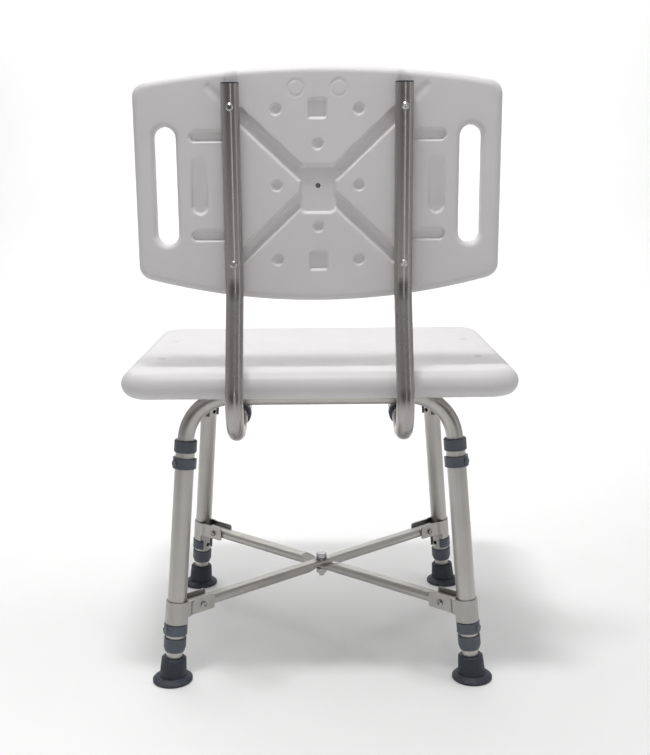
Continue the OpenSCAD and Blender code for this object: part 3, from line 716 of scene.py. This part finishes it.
def backdrop():
    """A pale sheet: flat floor that curves up into a wall well behind the bench."""
    profile = [(FLOOR_NEAR, 0.0), (BEND_START, 0.0)]
    for a in np.linspace(0.1, QUARTER, 14):
        profile.append((BEND_START - BEND_R * math.sin(a), BEND_R - BEND_R * math.cos(a)))
    profile.append((BEND_START - BEND_R, WALL_TOP))
    verts = [(x, y, z) for y, z in profile for x in (-BACKDROP_HALF, BACKDROP_HALF)]
    faces = [(2 * k, 2 * k + 1, 2 * k + 3, 2 * k + 2) for k in range(len(profile) - 1)]
    mesh = bpy.data.meshes.new("studio_sweep")
    mesh.from_pydata(verts, [], faces)
    mesh.polygons.foreach_set("use_smooth", [True] * len(faces))
    mesh.materials.append(floor_material())
    made = bpy.data.objects.new("studio_sweep", mesh)
    bpy.context.scene.collection.objects.link(made)


backdrop()


def softbox(name, place, aim, size, power):
    """A rectangular light that the camera doesn't see, places in metres and power in watts."""
    light = bpy.data.lights.new(name, "AREA")
    light.shape = "RECTANGLE"
    light.size, light.size_y = size
    light.energy = power
    made = bpy.data.objects.new(name, light)
    bpy.context.scene.collection.objects.link(made)
    made.location = place
    made.rotation_euler = (Vector(aim) - Vector(place)).to_track_quat("-Z", "Y").to_euler()
    made.visible_camera = False


softbox("key_far_left", (0.95, -1.35, 2.3), (0, 0, 0.4), (1.3, 1.0), 12)
softbox("overhead", (0.15, 0.5, 2.2), (0.0, 0.1, 0.4), (0.42, 0.2), 18)
softbox("overhead_rear", (-0.1, 1.0, 2.2), (0, 0.1, 0.5), (1.5, 0.5), 3.5)
softbox("strip_behind", (-0.45, 2.6, 0.95), (0, 0.1, 0.55), (0.14, 1.7), 3)
softbox("strip_right", (-2.1, 0.9, 1.0), (0, 0.1, 0.45), (0.2, 1.8), 1.5)
softbox("backdrop_wash", (0.0, -1.5, 2.6), (0, -3.6, 1.4), (3.5, 0.8), 80)


def by_direction(tree, component, low, high, to_low, to_high):
    """Runs from to_low to to_high as one component of the view direction goes from low to high."""
    made = tree.nodes.new("ShaderNodeMapRange")
    for key, number in (("From Min", low), ("From Max", high), ("To Min", to_low), ("To Max", to_high)):
        made.inputs[key].default_value = number
    tree.links.new(component, made.inputs["Value"])
    return made.outputs["Result"]


studio = bpy.data.worlds.new("studio")
bpy.context.scene.world = studio
studio.use_nodes = True
tree = studio.node_tree
direction = tree.nodes.new("ShaderNodeTexCoord")
axes = tree.nodes.new("ShaderNodeSeparateXYZ")
tree.links.new(direction.outputs["Generated"], axes.inputs[0])
total = tree.nodes.new("ShaderNodeMath")
tree.links.new(by_direction(tree, axes.outputs["Y"], -0.3, 0.75, 0.6, 0.08), total.inputs[0])
tree.links.new(by_direction(tree, axes.outputs["Z"], 0.25, 0.95, 0.0, 0.35), total.inputs[1])
sky = tree.nodes["Background"]
sky.inputs["Color"].default_value = (1.0, 0.995, 0.99, 1)
tree.links.new(total.outputs[0], sky.inputs["Strength"])

# The camera was solved from the seat's outline, the feet and the backrest in the photograph.
CAMERA_PLACE = (-0.00206, 1.48057, 0.67192)
LENS = 50.0
SENSOR_WIDTH = 36.0
SHIFT = (0.0077, -0.0009)
PITCH = math.radians(11.097)
PAN = math.radians(0.119)
ROLL = math.radians(-0.513)
camera_data = bpy.data.cameras.new("camera")
camera_data.lens = LENS
camera_data.sensor_width = SENSOR_WIDTH
camera_data.shift_x, camera_data.shift_y = SHIFT
camera = bpy.data.objects.new("camera", camera_data)
bpy.context.scene.collection.objects.link(camera)
ahead = Vector((math.sin(PAN) * math.cos(PITCH), -math.cos(PAN) * math.cos(PITCH), -math.sin(PITCH)))
camera.rotation_mode = "QUATERNION"
level = ahead.to_track_quat("-Z", "Y").to_matrix()
camera.rotation_quaternion = (level @ Matrix.Rotation(ROLL, 3, "Z")).to_quaternion()
camera.location = CAMERA_PLACE
bpy.context.scene.camera = camera
bpy.context.scene.view_settings.view_transform = "Standard"
